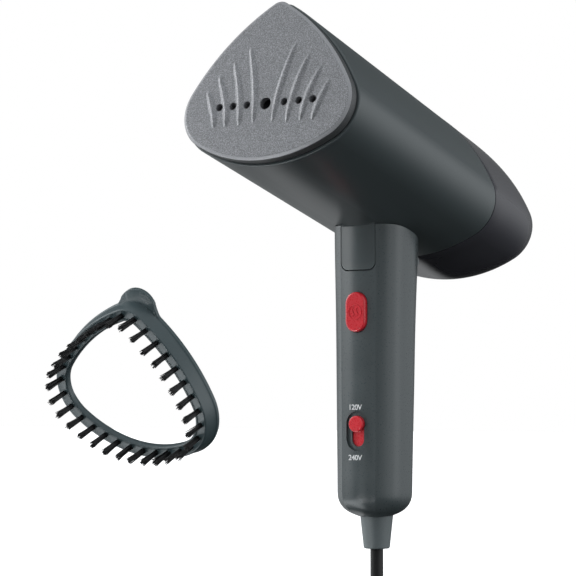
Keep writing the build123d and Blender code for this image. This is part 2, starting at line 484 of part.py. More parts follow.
# steam button: a raised stadium cap on a stem
cap = stad_slab(BTN_W, BTN_H, BTN_Z, FACET_Y - BTN_PROUD, FACET_Y + 1.8, BTN_X)
cap = fillet(cap.edges().group_by(Axis.Y)[0], 1.0)
flange = stad_slab(BTN_W + 2.6, BTN_H + 2.6, BTN_Z, FACET_Y + 2.75, FACET_Y + 3.7, BTN_X)
btn = cap + stad_slab(BTN_W - 1.0, BTN_H - 1.0, BTN_Z, FACET_Y + 1.0, FACET_Y + 3.7, BTN_X) + flange
btn += Pos(BTN_X, (FACET_Y + 3.6 - 7.7) / 2, BTN_Z) * Rot(90, 0, 0) * Cylinder(1.4, -7.7 - (FACET_Y + 3.6))
btn += front_slab((Pos(BTN_X, BTN_Z, 0) * (Circle(3.8) - Circle(3.2))).faces()[0], FACET_Y - BTN_PROUD - 0.3, FACET_Y - BTN_PROUD + 0.4)
for dx in (-1.05, 1.05):     # two rising strokes of steam
    c = Spline([(BTN_X + dx - 0.35, BTN_Z - 2.0, 0), (BTN_X + dx + 0.45, BTN_Z - 0.7, 0), (BTN_X + dx - 0.45, BTN_Z + 0.7, 0), (BTN_X + dx + 0.35, BTN_Z + 2.0, 0)])
    up = [(c @ (i / 8)) for i in range(9)]
    A = [(q.X + 0.33, q.Y, 0) for q in up]; Bq = [(q.X - 0.33, q.Y, 0) for q in up][::-1]
    btn += front_slab(make_face(Wire([Spline(A), Line(A[-1], Bq[0]), Spline(Bq), Line(Bq[-1], A[0])])), FACET_Y - BTN_PROUD - 0.3, FACET_Y - BTN_PROUD + 0.4)
keep("steam_button", btn)
keep("button_spring", Plane(origin=(BTN_X, -6.0, BTN_Z), x_dir=(1, 0, 0), z_dir=(0, -1, 0)).location * spring(0, 0, 0.0, 7.4, 3.3, 0.5, 5))
msw = Pos(BTN_X, -5.0, BTN_Z) * Box(13.0, 2.0, 9.0) + Pos(BTN_X, -2.6, BTN_Z) * Box(10.0, 2.8, 6.4)
msw -= Pos(BTN_X, -5.6, BTN_Z) * Rot(90, 0, 0) * Cylinder(1.6, 1.2)
keep("steam_switch", msw)

# voltage selector: round knob with a blade that fills the slot, sliding in the recess
kn = Pos(SEL_X, FACET_Y - 0.4, SEL_KNOB_Z) * Rot(90, 0, 0) * Cylinder(SEL_KNOB_D / 2, 2.4)
kn = fillet(kn.edges().group_by(Axis.Y)[0], 0.6)
kn += Pos(SEL_X, FACET_Y + 1.5, SEL_KNOB_Z) * Rot(90, 0, 0) * Cylinder(2.9, 1.8)
kn += Pos(SEL_X, FACET_Y + 2.6, SEL_Z - 0.3) * Box(9.2, 0.9, 21.0)
kn += Pos(SEL_X, FACET_Y + 5.0, SEL_KNOB_Z) * Box(3.4, 4.4, 3.4)
keep("voltage_knob", kn)
vs = Pos(SEL_X, FACET_Y + 8.9, SEL_Z + 0.3) * Box(12.0, 5.0, 19.0)
vs -= Pos(SEL_X, FACET_Y + 6.6, SEL_KNOB_Z - SEL_TRAVEL / 2) * Box(4.4, 1.6, 4.6 + SEL_TRAVEL)
vs += Pos(SEL_X, FACET_Y + 12.9, SEL_Z + 0.3) * Box(8.0, 3.0, 12.0)
keep("voltage_switch", vs)

board = Pos(0, -2.1, 4.0) * Box(24.0, 1.6, 30.0) - Pos(0, -2, 8.0) * Rot(90, 0, 0) * Cylinder(3.6, 8)
keep("control_board", board)
comp = Pos(-6.5, -5.4, -2.0) * Box(8.0, 5.0, 10.0)
comp += Pos(6.5, -5.4, -3.0) * Rot(90, 0, 0) * Cylinder(4.0, 5.0)
comp += Pos(7.0, -4.4, 12.0) * Box(6.0, 3.0, 8.0)
comp += Pos(-7.5, -4.4, 13.5) * Box(5.0, 3.0, 6.0)
keep("board_components", comp)
tb = Pos(0, 5.5, -22.0) * Box(20.0, 8.0, 12.0)
for x in (-6, 0, 6):
    tb -= Pos(x, 9.4, -22.0) * Rot(90, 0, 0) * Cylinder(1.9, 3.0)
    tb -= Pos(x, 5.0, -22.0) * Cylinder(1.4, 14)
keep("terminal_block", tb)
cl = Pos(0, -3.9, -54.5) * Box(16.0, 3.6, 5.6)
cl -= Pos(0, 0, -54.0) * Cylinder(CORD_D / 2, 10)
for m in (1, -1):
    cl -= Pos(m * 6.0, -4.7, -54.5) * Rot(90, 0, 0) * Cylinder(1.3, 8)
keep("cord_clamp", cl)
cs = None
for m in (1, -1):
    s = Pos(m * 6.0, -2.35, -54.5) * Rot(90, 0, 0) * Cylinder(1.24, 7.0) + Pos(m * 6.0, -6.4, -54.5) * Rot(90, 0, 0) * Cylinder(2.3, 1.4)
    cs = s if cs is None else cs + s
keep("cord_clamp_screws", cs)
# insulated wires from the switches to the hinge
wr = None
for x, y in ((-9.0, 6.0), (-9.0, 9.2), (-5.6, 9.2)):
    s = Pos(x, y, 20.0) * Cylinder(1.3, 50.0)
    wr = s if wr is None else wr + s
keep("handle_wires", wr)
lw = None
for i, (x, p) in enumerate(((-22.0, -12.0), (-25.2, -12.0), (-28.4, -10.5))):
    s = pin(x, p, 40.0, 112.0, 1.3)
    lw = s if lw is None else lw + s
keep("head_wires", lw, HEAD)

# leaf spring that clicks against the hinge lug at each end of the fold
leaf = Pos(0, HINGE_Y - 7.2, HINGE_Z - 3.0) * Box(8.0, 0.4, 16.0)
keep("detent_leaf", leaf)

# ================================================================ strain relief, cord, plug
sr = Pos(0, 0, (-69.35 + SR_BOT) / 2) * Cone(SR_R1, SR_R0, -69.35 - SR_BOT)
sr = fillet(sr.edges().group_by(Axis.Z)[0], 0.8)
sr += Pos(0, 0, -68.7) * Cylinder(5.5, 5.0) + Pos(0, 0, -66.9) * Cylinder(8.2, 1.5)
sr -= Pos(0, 0, -76) * Cylinder(CORD_D / 2, 30)
keep("strain_relief", sr)

HC = -HANK_R                 # the hank's centre line, so that its right-hand run lies under the exit
Y_LAST = HANK_PITCH * HANK_TURNS
Z_B = HANK_TOP - HANK_RUN
lead_top = -51.5
lead = Pos(0, 0, (lead_top + HANK_TOP) / 2) * Cylinder(CORD_D / 2, lead_top - HANK_TOP)
keep("cord_lead", lead)


def racetrack(r, y0, y1):
    f = Pos(HC, (HANK_TOP + Z_B) / 2, 0) * (Rectangle(2 * r, HANK_RUN) + Pos(0, HANK_RUN / 2, 0) * Circle(r) + Pos(0, -HANK_RUN / 2, 0) * Circle(r))
    return front_slab(f.faces()[0], y0, y1)


hank = racetrack(HANK_R + CORD_D / 2, -CORD_D / 2, Y_LAST + CORD_D / 2) - racetrack(HANK_R - CORD_D / 2, -10, Y_LAST + 10)
hank -= Pos(0, 0, HANK_TOP + 20) * Cylinder(CORD_D / 2, 40)
hank -= Pos(0, Y_LAST, Z_B - 20) * Cylinder(CORD_D / 2, 40)
keep("cord_hank", hank)
TAIL_END = Z_B - 34.0
keep("cord_tail", Pos(0, Y_LAST, (Z_B + TAIL_END) / 2) * Cylinder(CORD_D / 2, Z_B - TAIL_END))
zt = (HANK_TOP + Z_B) / 2
tie = Pos(HC, Y_LAST / 2, zt) * (Box(2 * HANK_R + CORD_D + 3.2, Y_LAST + CORD_D + 3.2, 16) - Box(2 * HANK_R + CORD_D + 0.2, Y_LAST + CORD_D + 0.2, 18))
keep("cord_tie", tie)
pl = Pos(0, Y_LAST, 0) * loft([Plane(origin=(0, 0, TAIL_END + 6)) * Circle(4.6), Plane(origin=(0, 0, TAIL_END - 6)) * RectangleRounded(14, 11, 4.5),
                               Plane(origin=(0, 0, TAIL_END - 18)) * RectangleRounded(24, 15, 5), Plane(origin=(0, 0, TAIL_END - 30)) * RectangleRounded(26, 16, 5)])
pl -= Pos(0, Y_LAST, TAIL_END + 5) * Cylinder(CORD_D / 2, 10)
for m in (1, -1):
    pl -= Pos(m * 6.35, Y_LAST, TAIL_END - 27) * Box(1.5, 6.4, 8)
keep("plug_body", pl)
bl = None
for m in (1, -1):
    s = Pos(m * 6.35, Y_LAST, TAIL_END - 35.5) * Box(1.5, 6.4, 25)
    s -= Pos(m * 6.35, Y_LAST, TAIL_END - 44.5) * Rot(0, 90, 0) * Cylinder(1.5, 5)
    s = chamfer(s.edges().group_by(Axis.Z)[0].filter_by(Axis.Y), 0.45)
    bl = s if bl is None else bl + s
keep("plug_blades", bl)

# ================================================================ brush attachment, lying beside the steamer
fo = pick_face(BRUSH_OUT, 0.0)
ring = loft([pick_face(BRUSH_OUT, 0.0), pick_face(BRUSH_OUT + BRUSH_FLARE, -BRUSH_DEPTH)])
ring = fillet(ring.edges().group_by(Axis.Z)[-1], 0.6)
ring -= loft([pick_face(BRUSH_IN, 1.0), pick_face(BRUSH_IN - 0.5, -BRUSH_DEPTH - 1.0)])
# hollow of the ring, open at the back, between its inner and outer walls
groove = loft([pick_face(BRUSH_OUT - 0.9, -3.0), pick_face(BRUSH_OUT + BRUSH_FLARE - 2.0, -BRUSH_DEPTH - 1)]) - \
    loft([pick_face(BRUSH_IN + 1.8, -2.0), pick_face(BRUSH_IN + 1.6, -BRUSH_DEPTH - 2)])
ring -= groove
ring -= Pos(2.0, -28.3, -6.0) * Box(8.0, 6.0, 2.8)
tabf = make_face(Wire([Spline([(14.5, 56.0, 0), (12.2, 62.5, 0), (9.6, 67.6, 0), (4.5, 70.2, 0), (-1.5, 70.2, 0), (-6.5, 68.2, 0), (-10.0, 64.0, 0), (-14.5, 56.0, 0)]),
                       Line((-14.5, 56.0, 0), (14.5, 56.0, 0))]))
tab = extrude(tabf, amount=2.6, dir=(0, 0, 1))
tab = Pos(0, 0, -BRUSH_DEPTH) * tab
tab = chamfer(tab.edges().group_by(Axis.Z)[-1].filter_by(GeomType.LINE, reverse=True), 0.5)
ring += tab - (loft([pick_face(BRUSH_IN + 3, 1.0), pick_face(BRUSH_IN + 3, -BRUSH_DEPTH - 1.0)]))
# tuft roots, evenly spaced along the middle of the front face
q = pick_face((BRUSH_IN + BRUSH_OUT) / 2, 0.0).faces()[0].outer_wire()
roots = [q @ ((i + 0.5) / TUFT_N) for i in range(TUFT_N)]
tufts = None
for r in roots:
    ring -= Pos(r.X, r.Y, -1.5) * Cylinder(TUFT_R, 3.1)
    s = Pos(r.X, r.Y, -2.95 + (TUFT_L + 2.95) / 2) * Cylinder(TUFT_R - 0.02, TUFT_L + 2.95)
    tufts = s if tufts is None else tufts + s
keep("brush_frame", ring, BRUSH)
keep("bristle_tufts", tufts, BRUSH)

# ---------------------------------------------------------------- cord length, from its own dimensions
turn = 2 * HANK_RUN + 2 * pi * HANK_R
free = (SR_BOT - HANK_TOP) + HANK_TURNS * turn + HANK_RUN + (Z_B - TAIL_END)
print("free cord length mm", round(free, 1), "hank bend radius", HANK_R, "=", round(HANK_R / CORD_D, 2), "diameters")
print("nodes", len(NODES))
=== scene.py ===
import bpy
import bmesh
import math
import random
from mathutils.bvhtree import BVHTree
from mathutils import Vector, Matrix


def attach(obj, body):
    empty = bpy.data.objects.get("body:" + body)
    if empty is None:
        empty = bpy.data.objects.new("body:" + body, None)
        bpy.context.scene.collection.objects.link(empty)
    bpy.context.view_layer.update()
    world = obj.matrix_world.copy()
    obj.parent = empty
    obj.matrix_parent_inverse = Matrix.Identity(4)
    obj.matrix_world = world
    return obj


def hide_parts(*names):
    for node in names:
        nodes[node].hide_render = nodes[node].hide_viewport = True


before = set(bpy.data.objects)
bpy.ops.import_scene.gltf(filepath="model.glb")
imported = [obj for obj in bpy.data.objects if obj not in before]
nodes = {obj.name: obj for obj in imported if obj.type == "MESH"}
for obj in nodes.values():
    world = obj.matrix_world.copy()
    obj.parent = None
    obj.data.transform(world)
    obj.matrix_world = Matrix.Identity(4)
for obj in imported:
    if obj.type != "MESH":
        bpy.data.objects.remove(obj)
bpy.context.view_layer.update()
random.seed(11)

# ------------------------------------------------------------------ frame of the head, metres
TILT = math.radians(13.93)
PC = Vector((0.0, -0.0989, 0.11825))
HB = Vector((0.0, math.cos(TILT), -math.sin(TILT)))      # towards the tank
HP = Vector((0.0, math.sin(TILT), math.cos(TILT)))       # up across the head
HX = Vector((1.0, 0.0, 0.0))
BO = Vector((-0.2337, 0.1105, -0.0148))
BX = Vector((0.9588, 0.0833, -0.2715)).normalized()
BB = Vector((0.0387, 0.9087, 0.4156)).normalized()
BP = BB.cross(BX)
if BP.z < 0:
    BP = -BP


def head_pt(x, p, s):
    """Plate coordinates in millimetres (s is depth behind the face) to the row frame in metres."""
    return PC + (HX * x + HP * p + HB * s) * 0.001


def brush_pt(x, p, s):
    return BO + (BX * x + BP * p + BB * s) * 0.001


# ------------------------------------------------------------------ outline of the plate, millimetres
APEX_R, SIDE_C, SIDE_R = 5.99, (-52.43, -43.37), 107.76
COR_C, COR_R, BOT_Y, BOT_R = (26.18, -1.13), 18.52, 42.56, 69.45


def outline(off, n):
    """n points evenly spaced by length round the rounded triangle, offset outwards, with unit normals."""
    R, rc, rb, ra = SIDE_R + off, COR_R + off, BOT_R + off, max(APEX_R + off, 0.6)
    ay = SIDE_C[1] + math.sqrt((R - ra) ** 2 - SIDE_C[0] ** 2)
    def ang(a, b):
        return math.atan2(b[1] - a[1], b[0] - a[0])
    apex, bot = (0.0, ay), (0.0, BOT_Y)
    arcs = [(apex, ra, math.pi / 2, ang(SIDE_C, apex)), (SIDE_C, R, ang(SIDE_C, apex), ang(SIDE_C, COR_C)),
            (COR_C, rc, ang(SIDE_C, COR_C), ang(bot, COR_C)), (bot, rb, ang(bot, COR_C), -math.pi / 2)]
    dense = []
    for c, r, a0, a1 in arcs:
        k = 160
        for i in range(k):
            a = a0 + (a1 - a0) * i / k
            dense.append((c[0] + r * math.cos(a), c[1] + r * math.sin(a), math.cos(a), math.sin(a)))
    a = -math.pi / 2
    dense.append((0.0, BOT_Y - rb, 0.0, -1.0))
    left = [(-x, y, -nx, ny) for x, y, nx, ny in dense[::-1][1:-1]]
    dense += left
    cum = [0.0]
    m = len(dense)
    for i in range(m):
        q0, q1 = dense[i], dense[(i + 1) % m]
        cum.append(cum[-1] + math.hypot(q1[0] - q0[0], q1[1] - q0[1]))
    out, j = [], 0
    for i in range(n):
        t = cum[-1] * i / n
        while cum[j + 1] < t:
            j += 1
        u = (t - cum[j]) / max(cum[j + 1] - cum[j], 1e-9)
        q0, q1 = dense[j], dense[(j + 1) % m]
        v = [q0[k] + u * (q1[k] - q0[k]) for k in range(4)]
        L = math.hypot(v[2], v[3])
        out.append((v[0], v[1], v[2] / L, v[3] / L))
    return out


# ------------------------------------------------------------------ mesh helpers
def mesh_piece(name, verts, faces, body, mat, smooth=True):
    me = bpy.data.meshes.new(name)
    me.from_pydata([tuple(v) for v in verts], [], faces)
    me.validate()
    me.update()
    ob = bpy.data.objects.new(name, me)
    bpy.context.scene.collection.objects.link(ob)
    bm = bmesh.new()
    bm.from_mesh(me)
    bmesh.ops.remove_doubles(bm, verts=bm.verts, dist=1e-7)
    bmesh.ops.recalc_face_normals(bm, faces=bm.faces)
    bm.to_mesh(me)
    bm.free()
    if smooth:
        for p in me.polygons:
            p.use_smooth = True
    me.materials.append(mat)
    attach(ob, body)
    return ob


def rings(loops, close_first=True, close_last=True):
    """Joins equal closed loops of points into a tube and caps its ends with fans."""
    verts, faces = [], []
    n = len(loops[0])
    for lp in loops:
        verts += lp
    for k in range(len(loops) - 1):
        for i in range(n):
            j = (i + 1) % n
            faces.append((k * n + i, k * n + j, (k + 1) * n + j, (k + 1) * n + i))
    for flag, k in ((close_first, 0), (close_last, len(loops) - 1)):
        if flag:
            c = sum((Vector(v) for v in loops[k]), Vector()) / n
            verts.append(c)
            ci = len(verts) - 1
            for i in range(n):
                faces.append((k * n + i, k * n + (i + 1) % n, ci))
    return verts, faces


def sharp_by_angle(ob, deg=30.0):
    me = ob.data
    me.set_sharp_from_angle(angle=math.radians(deg))


# ------------------------------------------------------------------ materials
def material(name, color, rough=0.4, metal=0.0, bump=0.0, grain=900.0, vary=0.06, rough_vary=0.08, speck=0.0,
             coat=0.0, coat_rough=0.1, spec=0.5, sheen=0.0, trans=0.0, speck_color=None, speck_scale=2500.0, painted_edge_highlight=0.0, big=18.0, crown=0.0, crown_box=None):
    m = bpy.data.materials.new(name)
    m.use_nodes = True
    nt = m.node_tree
    nd, lk = nt.nodes, nt.links
    b = nd["Principled BSDF"]
    b.inputs["Metallic"].default_value = metal
    b.inputs["Coat Weight"].default_value = coat
    b.inputs["Coat Roughness"].default_value = coat_rough
    b.inputs["Specular IOR Level"].default_value = spec
    b.inputs["Sheen Weight"].default_value = sheen
    b.inputs["Transmission Weight"].default_value = trans
    tc = nd.new("ShaderNodeTexCoord")
    big_n = nd.new("ShaderNodeTexNoise")
    big_n.inputs["Scale"].default_value = big
    big_n.inputs["Detail"].default_value = 4.0
    lk.new(tc.outputs["Object"], big_n.inputs["Vector"])
    fine = nd.new("ShaderNodeTexNoise")
    fine.inputs["Scale"].default_value = grain
    fine.inputs["Detail"].default_value = 2.0
    lk.new(tc.outputs["Object"], fine.inputs["Vector"])
    ramp = nd.new("ShaderNodeMapRange")
    ramp.inputs["To Min"].default_value = 1.0 - vary
    ramp.inputs["To Max"].default_value = 1.0 + vary
    lk.new(big_n.outputs["Fac"], ramp.inputs["Value"])
    mul = nd.new("ShaderNodeMix")
    mul.data_type = "RGBA"
    mul.blend_type = "MULTIPLY"
    mul.inputs["Factor"].default_value = 1.0
    mul.inputs["A"].default_value = (*color, 1.0)
    comb = nd.new("ShaderNodeCombineColor")
    for ch in ("Red", "Green", "Blue"):
        lk.new(ramp.outputs["Result"], comb.inputs[ch])
    lk.new(comb.outputs["Color"], mul.inputs["B"])
    out_col = mul.outputs["Result"]
    if speck > 0:
        sn = nd.new("ShaderNodeTexNoise")
        sn.inputs["Scale"].default_value = speck_scale
        sn.inputs["Detail"].default_value = 1.0
        lk.new(tc.outputs["Object"], sn.inputs["Vector"])
        sr = nd.new("ShaderNodeMapRange")
        sr.inputs["From Min"].default_value = 0.42
        sr.inputs["From Max"].default_value = 0.66
        sr.inputs["To Min"].default_value = 0.0
        sr.inputs["To Max"].default_value = speck
        lk.new(sn.outputs["Fac"], sr.inputs["Value"])
        mx = nd.new("ShaderNodeMix")
        mx.data_type = "RGBA"
        mx.inputs["B"].default_value = (*(speck_color or tuple(min(1.0, c * 1.9 + 0.03) for c in color)), 1.0)
        lk.new(sr.outputs["Result"], mx.inputs["Factor"])
        lk.new(out_col, mx.inputs["A"])
        out_col = mx.outputs["Result"]
    # painted highlight: the colour is lightened on convex edges, found by pointiness, to stand in for light catching
    # the rounded edges
    if painted_edge_highlight > 0:
        ge = nd.new("ShaderNodeNewGeometry")
        wr = nd.new("ShaderNodeMapRange")
        wr.inputs["From Min"].default_value = 0.52
        wr.inputs["From Max"].default_value = 0.60
        wr.inputs["To Min"].default_value = 0.0
        wr.inputs["To Max"].default_value = painted_edge_highlight
        lk.new(ge.outputs["Pointiness"], wr.inputs["Value"])
        mw = nd.new("ShaderNodeMix")
        mw.data_type = "RGBA"
        mw.inputs["B"].default_value = (*tuple(min(1.0, c * 2.2 + 0.05) for c in color), 1.0)
        lk.new(wr.outputs["Result"], mw.inputs["Factor"])
        lk.new(out_col, mw.inputs["A"])
        out_col = mw.outputs["Result"]
    lk.new(out_col, b.inputs["Base Color"])
    rr = nd.new("ShaderNodeMapRange")
    rr.inputs["To Min"].default_value = max(0.02, rough - rough_vary)
    rr.inputs["To Max"].default_value = min(1.0, rough + rough_vary)
    lk.new(fine.outputs["Fac"], rr.inputs["Value"])
    lk.new(rr.outputs["Result"], b.inputs["Roughness"])
    if bump > 0:
        bp = nd.new("ShaderNodeBump")
        bp.inputs["Strength"].default_value = bump
        bp.inputs["Distance"].default_value = 0.0001
        lk.new(fine.outputs["Fac"], bp.inputs["Height"])
        lk.new(bp.outputs["Normal"], b.inputs["Normal"])
        if crown > 0:
            # a shallow crown across the flat front: a broad cosine hump about x = 0
            sx = nd.new("ShaderNodeSeparateXYZ")
            lk.new(tc.outputs["Object"], sx.inputs[0])
            chain = sx.outputs["X"]
            for op, val in (("MULTIPLY", math.pi / 0.0135), ("MINIMUM", math.pi), ("MAXIMUM", -math.pi), ("COSINE", None), ("MULTIPLY", crown)):
                mn = nd.new("ShaderNodeMath")
                mn.operation = op
                lk.new(chain, mn.inputs[0])
                if val is not None:
                    mn.inputs[1].default_value = val
                chain = mn.outputs[0]
            cb = nd.new("ShaderNodeBump")
            cb.inputs["Strength"].default_value = 1.0
            cb.inputs["Distance"].default_value = 1.0
            lk.new(chain, cb.inputs["Height"])
            if crown_box is None:
                lk.new(cb.outputs["Normal"], bp.inputs["Normal"])
            else:
                # only on the part that lies in front of y and below z
                ly = nd.new("ShaderNodeMath")
                ly.operation = "LESS_THAN"
                lk.new(sx.outputs["Y"], ly.inputs[0])
                ly.inputs[1].default_value = crown_box[0]
                lz = nd.new("ShaderNodeMath")
                lz.operation = "LESS_THAN"
                lk.new(sx.outputs["Z"], lz.inputs[0])
                lz.inputs[1].default_value = crown_box[1]
                both = nd.new("ShaderNodeMath")
                both.operation = "MULTIPLY"
                lk.new(ly.outputs[0], both.inputs[0])
                lk.new(lz.outputs[0], both.inputs[1])
                g2 = nd.new("ShaderNodeNewGeometry")
                nm = nd.new("ShaderNodeMix")
                nm.data_type = "VECTOR"
                lk.new(both.outputs[0], nm.inputs["Factor"])
                lk.new(g2.outputs["Normal"], nm.inputs[4])
                lk.new(cb.outputs["Normal"], nm.inputs[5])
                lk.new(nm.outputs[1], bp.inputs["Normal"])
    return m


# housing, handle, red plastic and brush carry a painted highlight on their convex edges
M = {
    "housing": material("housing_grey", (0.064, 0.079, 0.083), rough=0.33, rough_vary=0.02, bump=0.015, grain=1600, speck=0.010, vary=0.05, painted_edge_highlight=0.15, crown=0.0011, crown_box=(-0.0155, 0.0690)),
    "handle": material("handle_grey", (0.060, 0.074, 0.078), rough=0.28, rough_vary=0.02, bump=0.015, grain=1600, speck=0.010, vary=0.05, painted_edge_highlight=0.15, crown=0.0011),
    "plate": material("plate_metal", (0.165, 0.168, 0.178), rough=0.38, metal=0.5, bump=0.45, grain=1700, speck=0.62, speck_color=(0.42, 0.43, 0.45), speck_scale=2300, vary=0.04),
    # painted highlight: a lighter copy of the plate metal for the bevel, standing in for light along the edge
    "painted_highlight_plate_bevel": material("painted_highlight_plate_bevel_metal", (0.27, 0.275, 0.29), rough=0.42, metal=0.25, bump=0.15, grain=1700, speck=0.2, speck_color=(0.5, 0.5, 0.52), speck_scale=2300, vary=0.04),
    # painted shade: a darker copy of the plate metal for the side wall, standing in for the shade on it
    "painted_shade_plate_wall": material("painted_shade_plate_wall_metal", (0.050, 0.054, 0.057), rough=0.45, metal=0.0, bump=0.2, grain=1700, speck=0.25, speck_color=(0.16, 0.165, 0.17), speck_scale=2300, vary=0.05),
    "tank": material("smoked_tank", (0.060, 0.060, 0.070), rough=0.06, trans=0.05, spec=0.24, rough_vary=0.02, vary=0.05, bump=0.01, grain=600),
    "tank_in": material("smoked_tank_inner", (0.02, 0.02, 0.024), rough=0.2, trans=0.2, rough_vary=0.05, bump=0.02),
    "red": material("red_plastic", (0.70, 0.022, 0.036), rough=0.28, bump=0.05, grain=1400, coat=0.25, coat_rough=0.15, vary=0.04, painted_edge_highlight=0.2),
    "relief": material("relief_grey", (0.105, 0.125, 0.130), rough=0.45, bump=0.2, grain=1200, speck=0.1, vary=0.05),
    "cord": material("cord_rubber", (0.006, 0.006, 0.0065), rough=0.50, spec=0.35, bump=0.15, grain=900, vary=0.10, speck=0.05),
    "strap": material("tie_strap", (0.016, 0.016, 0.018), rough=0.85, bump=0.8, grain=1500, sheen=0.3, vary=0.15),
    "brass": material("brass_contact", (0.72, 0.56, 0.26), rough=0.25, metal=1.0, bump=0.05, grain=500, vary=0.08),
    "brush": material("brush_plastic", (0.048, 0.072, 0.079), rough=0.34, bump=0.04, grain=1500, speck=0.10, vary=0.05, painted_edge_highlight=0.2),
    "bristle": material("bristle", (0.012, 0.012, 0.013), rough=0.45, bump=0.05, vary=0.2),
    "rubber": material("black_rubber", (0.018, 0.018, 0.019), rough=0.6, bump=0.3, grain=1200, vary=0.1),
    "cast": material("cast_metal", (0.50, 0.51, 0.53), rough=0.5, metal=1.0, bump=0.5, grain=700, vary=0.1),
    "sheet": material("sheet_steel", (0.52, 0.52, 0.54), rough=0.28, metal=1.0, bump=0.1, grain=900, vary=0.06),
    "screw": material("screw_steel", (0.46, 0.46, 0.48), rough=0.3, metal=1.0, bump=0.1, grain=900, vary=0.08),
    "spring": material("spring_steel", (0.6, 0.6, 0.62), rough=0.2, metal=1.0, vary=0.05),
    "hose": material("hose", (0.62, 0.61, 0.57), rough=0.5, trans=0.15, bump=0.1, vary=0.05),
    "inner": material("inner_plastic", (0.55, 0.55, 0.52), rough=0.5, bump=0.15, grain=1200, vary=0.05),
    "copper": material("coil_copper", (0.62, 0.27, 0.10), rough=0.3, metal=1.0, bump=0.4, grain=1200, vary=0.1),
    "board": material("board_green", (0.015, 0.14, 0.05), rough=0.35, bump=0.2, grain=800, vary=0.2),
    "comp": material("component_black", (0.02, 0.02, 0.02), rough=0.4, bump=0.1, vary=0.2),
    "wire": material("wire", (0.35, 0.04, 0.04), rough=0.5, bump=0.05, vary=0.1),
    "legend": material("legend_white", (0.80, 0.81, 0.82), rough=0.5, bump=0.02, vary=0.02),
}

CAD_MATS = {
    "head_housing": "housing", "handle_front_shell": "handle", "handle_rear_shell": "handle", "steam_plate": "plate",
    "plate_gasket": "rubber", "tank_shell": "tank", "tank_front": "tank_in", "filler_stopper": "rubber", "tank_seal": "rubber",
    "steam_button": "red", "voltage_knob": "red", "strain_relief": "relief", "cord_lead": "cord", "cord_hank": "cord",
    "cord_tail": "cord", "cord_tie": "strap", "plug_body": "cord", "plug_blades": "brass", "brush_frame": "brush",
    "bristle_tufts": "bristle", "boiler_block": "cast", "boiler_cover": "sheet", "heating_element": "sheet",
    "steam_inlet_fitting": "brass", "thermostat": "inner", "thermal_fuse": "sheet", "fuse_clip": "brass",
    "boiler_carrier": "inner", "boiler_screws": "screw", "bulkhead_screws": "screw", "handle_screws": "screw",
    "hinge_screws": "screw", "cord_clamp_screws": "screw", "hinge_pin": "handle", "hinge_washers": "screw",
    "detent_leaf": "spring", "button_spring": "spring", "valve_spring": "spring", "steam_hose": "hose",
    "inlet_hose": "hose", "pickup_tube": "hose", "pickup_weight": "sheet", "pump": "inner", "pump_coil": "copper",
    "pump_cradle": "inner", "rear_bulkhead": "inner", "valve_cage": "inner", "tank_valve": "inner", "hinge_lug": "handle",
    "switch_carrier": "inner", "steam_switch": "comp", "voltage_switch": "comp", "terminal_block": "inner",
    "cord_clamp": "inner", "control_board": "board", "board_components": "comp", "handle_wires": "wire", "head_wires": "wire",
}
for n, key in CAD_MATS.items():
    me = nodes[n].data
    me.materials.clear()
    me.materials.append(M[key])

# ------------------------------------------------------------------ hook-and-loop strap round the hank
HC, HZ, YL = -0.021, -0.186, 0.033


def strap_loop(zc, grow, n=120):
    hw, hd, r = 0.021 + 0.00315 + grow, YL / 2 + 0.00315 + grow, 0.0036 + grow
    out = []
    for i in range(n):
        # rounded rectangle by superellipse
        a = 2 * math.pi * i / n
        c, s_ = math.cos(a), math.sin(a)
        out.append(Vector((HC + hw * math.copysign(abs(c) ** 0.28, c), YL / 2 + hd * math.copysign(abs(s_) ** 0.28, s_), zc)))
    return out


sl = []
for zc, g in ((-0.0078, 0.0004), (-0.0080, 0.0007), (-0.0078, 0.00105), (-0.0070, 0.0012), (0.0, 0.00115), (0.0070, 0.0012), (0.0078, 0.00105), (0.0080, 0.0007), (0.0078, 0.0004), (0.0, 0.00035)):
    sl.append(strap_loop(HZ + zc, g))
sv, sf = [], []
NS = len(sl[0])
for lp_pts in sl:
    sv += lp_pts
for k in range(len(sl)):
    k2 = (k + 1) % len(sl)
    for i in range(NS):
        j = (i + 1) % NS
        sf.append((k * NS + i, k * NS + j, k2 * NS + j, k2 * NS + i))
strap = mesh_piece("cord_strap", sv, sf, "handle", M["strap"])
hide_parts("cord_tie")

# ------------------------------------------------------------------ the free cord: lead, hank, tail
# one turn of the hank as (x, z) in millimetres, starting at the top of its right-hand run
TURN = [(0.0, -151.0), (0.2, -186.0), (0.0, -221.0), (-0.6, -242.8), (-8.2, -253.9), (-21.0, -257.9), (-33.9, -253.9),
        (-41.6, -242.6), (-42.0, -221.0), (-41.8, -186.0), (-42.0, -151.0), (-41.7, -129.0), (-34.0, -118.2),
        (-21.0, -114.1), (-8.2, -118.1), (-0.5, -129.3)]
PITCH = 6.6
cord_pts = [(0.0, 0.0, -58.0), (0.0, 0.0, -86.2), (0.0, 0.0, -112.0)]
for turn in range(5):
    for i, (x, z) in enumerate(TURN):
        cord_pts.append((x, PITCH * (turn + i / 16.0), z))
cord_pts += [(0.0, 33.0, -151.0), (0.1, 33.0, -186.0), (0.0, 33.0, -221.0), (0.0, 33.0, -246.0), (0.0, 33.0, -270.5)]
cu = bpy.data.curves.new("mains_cord", "CURVE")
cu.dimensions = "3D"
cu.bevel_depth = 0.00315
cu.bevel_resolution = 6
cu.resolution_u = 8
cu.use_fill_caps = True
sp = cu.splines.new("NURBS")
sp.points.add(len(cord_pts) - 1)
for p, c in zip(sp.points, cord_pts):
    p.co = (c[0] * 0.001, c[1] * 0.001, c[2] * 0.001, 1.0)
sp.order_u = 3
sp.use_endpoint_u = True
sp.use_smooth = True
mains_cord = bpy.data.objects.new("mains_cord", cu)
bpy.context.scene.collection.objects.link(mains_cord)
cu.materials.append(M["cord"])
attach(mains_cord, "handle")
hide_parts("cord_lead", "cord_hank", "cord_tail")

